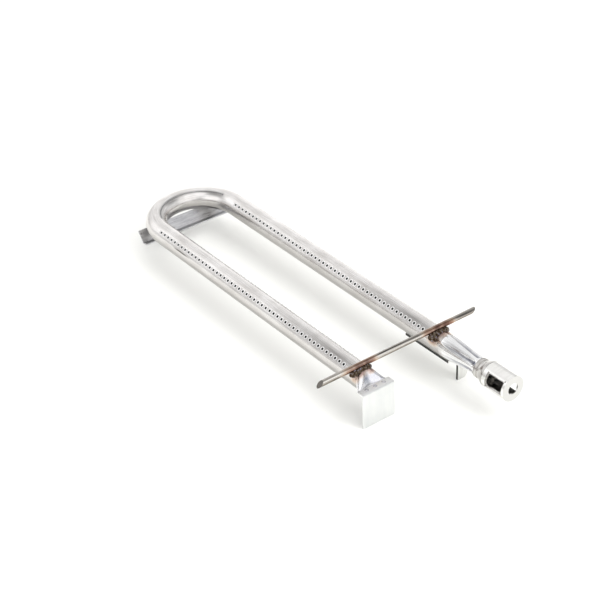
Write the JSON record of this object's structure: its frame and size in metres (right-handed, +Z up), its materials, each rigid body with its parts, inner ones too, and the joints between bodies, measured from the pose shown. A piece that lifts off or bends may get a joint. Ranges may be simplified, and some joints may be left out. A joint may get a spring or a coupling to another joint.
{
  "type": "tube burner assembly",
  "caption": "U-shaped stainless tube burner with ported legs, fluted venturi and rotary air shutter, flattened blind end on a foot, cross rod and rear bracket.",
  "frame": {"origin": "on the floor that the feet stand on, under the middle of the outline", "axes": "+Y from the air mixer to the return bend along the legs, +X from the blind leg to the gas leg, +Z up"},
  "size_m": [0.208, 0.5394, 0.0598],
  "materials": {
    "tube_steel": "satin stainless tube",
    "formed_steel": "satin stainless, marked by the press tools",
    "foot_sheet": "bright stainless sheet",
    "spot_weld_metal": "dull spot weld",
    "rod_steel": "drawn rod, heat tinted",
    "weld_metal": "dark oxidised weld bead",
    "plate_steel": "mill finish plate",
    "bracket_sheet": "dull scuffed sheet",
    "mixer_steel": "turned finish",
    "shutter_steel": "polished stainless",
    "screw_steel": "plated screw"
  },
  "bodies": {
    "burner": {"left_leg": "tube_steel", "return_bend": "tube_steel", "right_leg": "tube_steel", "flattened_end": "formed_steel", "venturi_throat": "formed_steel", "front_foot": "foot_sheet", "foot_spot_welds": "spot_weld_metal", "cross_rod": "rod_steel", "left_rod_weld": "weld_metal", "right_rod_weld": "weld_metal", "right_foot": "plate_steel", "right_foot_welds": "weld_metal", "rear_bracket": "bracket_sheet", "rear_bracket_welds": "weld_metal", "mixer_body": "mixer_steel", "lock_screw": "screw_steel", "lock_washer": "screw_steel"},
    "air_shutter": {"air_shutter": "shutter_steel"}
  },
  "joints": [
    {"name": "shutter_turn", "type": "hinge", "parent": "burner", "child": "air_shutter", "pos_m": [0.0542, -0.26975, 0.0408], "axis": [0, -1, 0], "range_deg": [0, 60]}
  ]
}
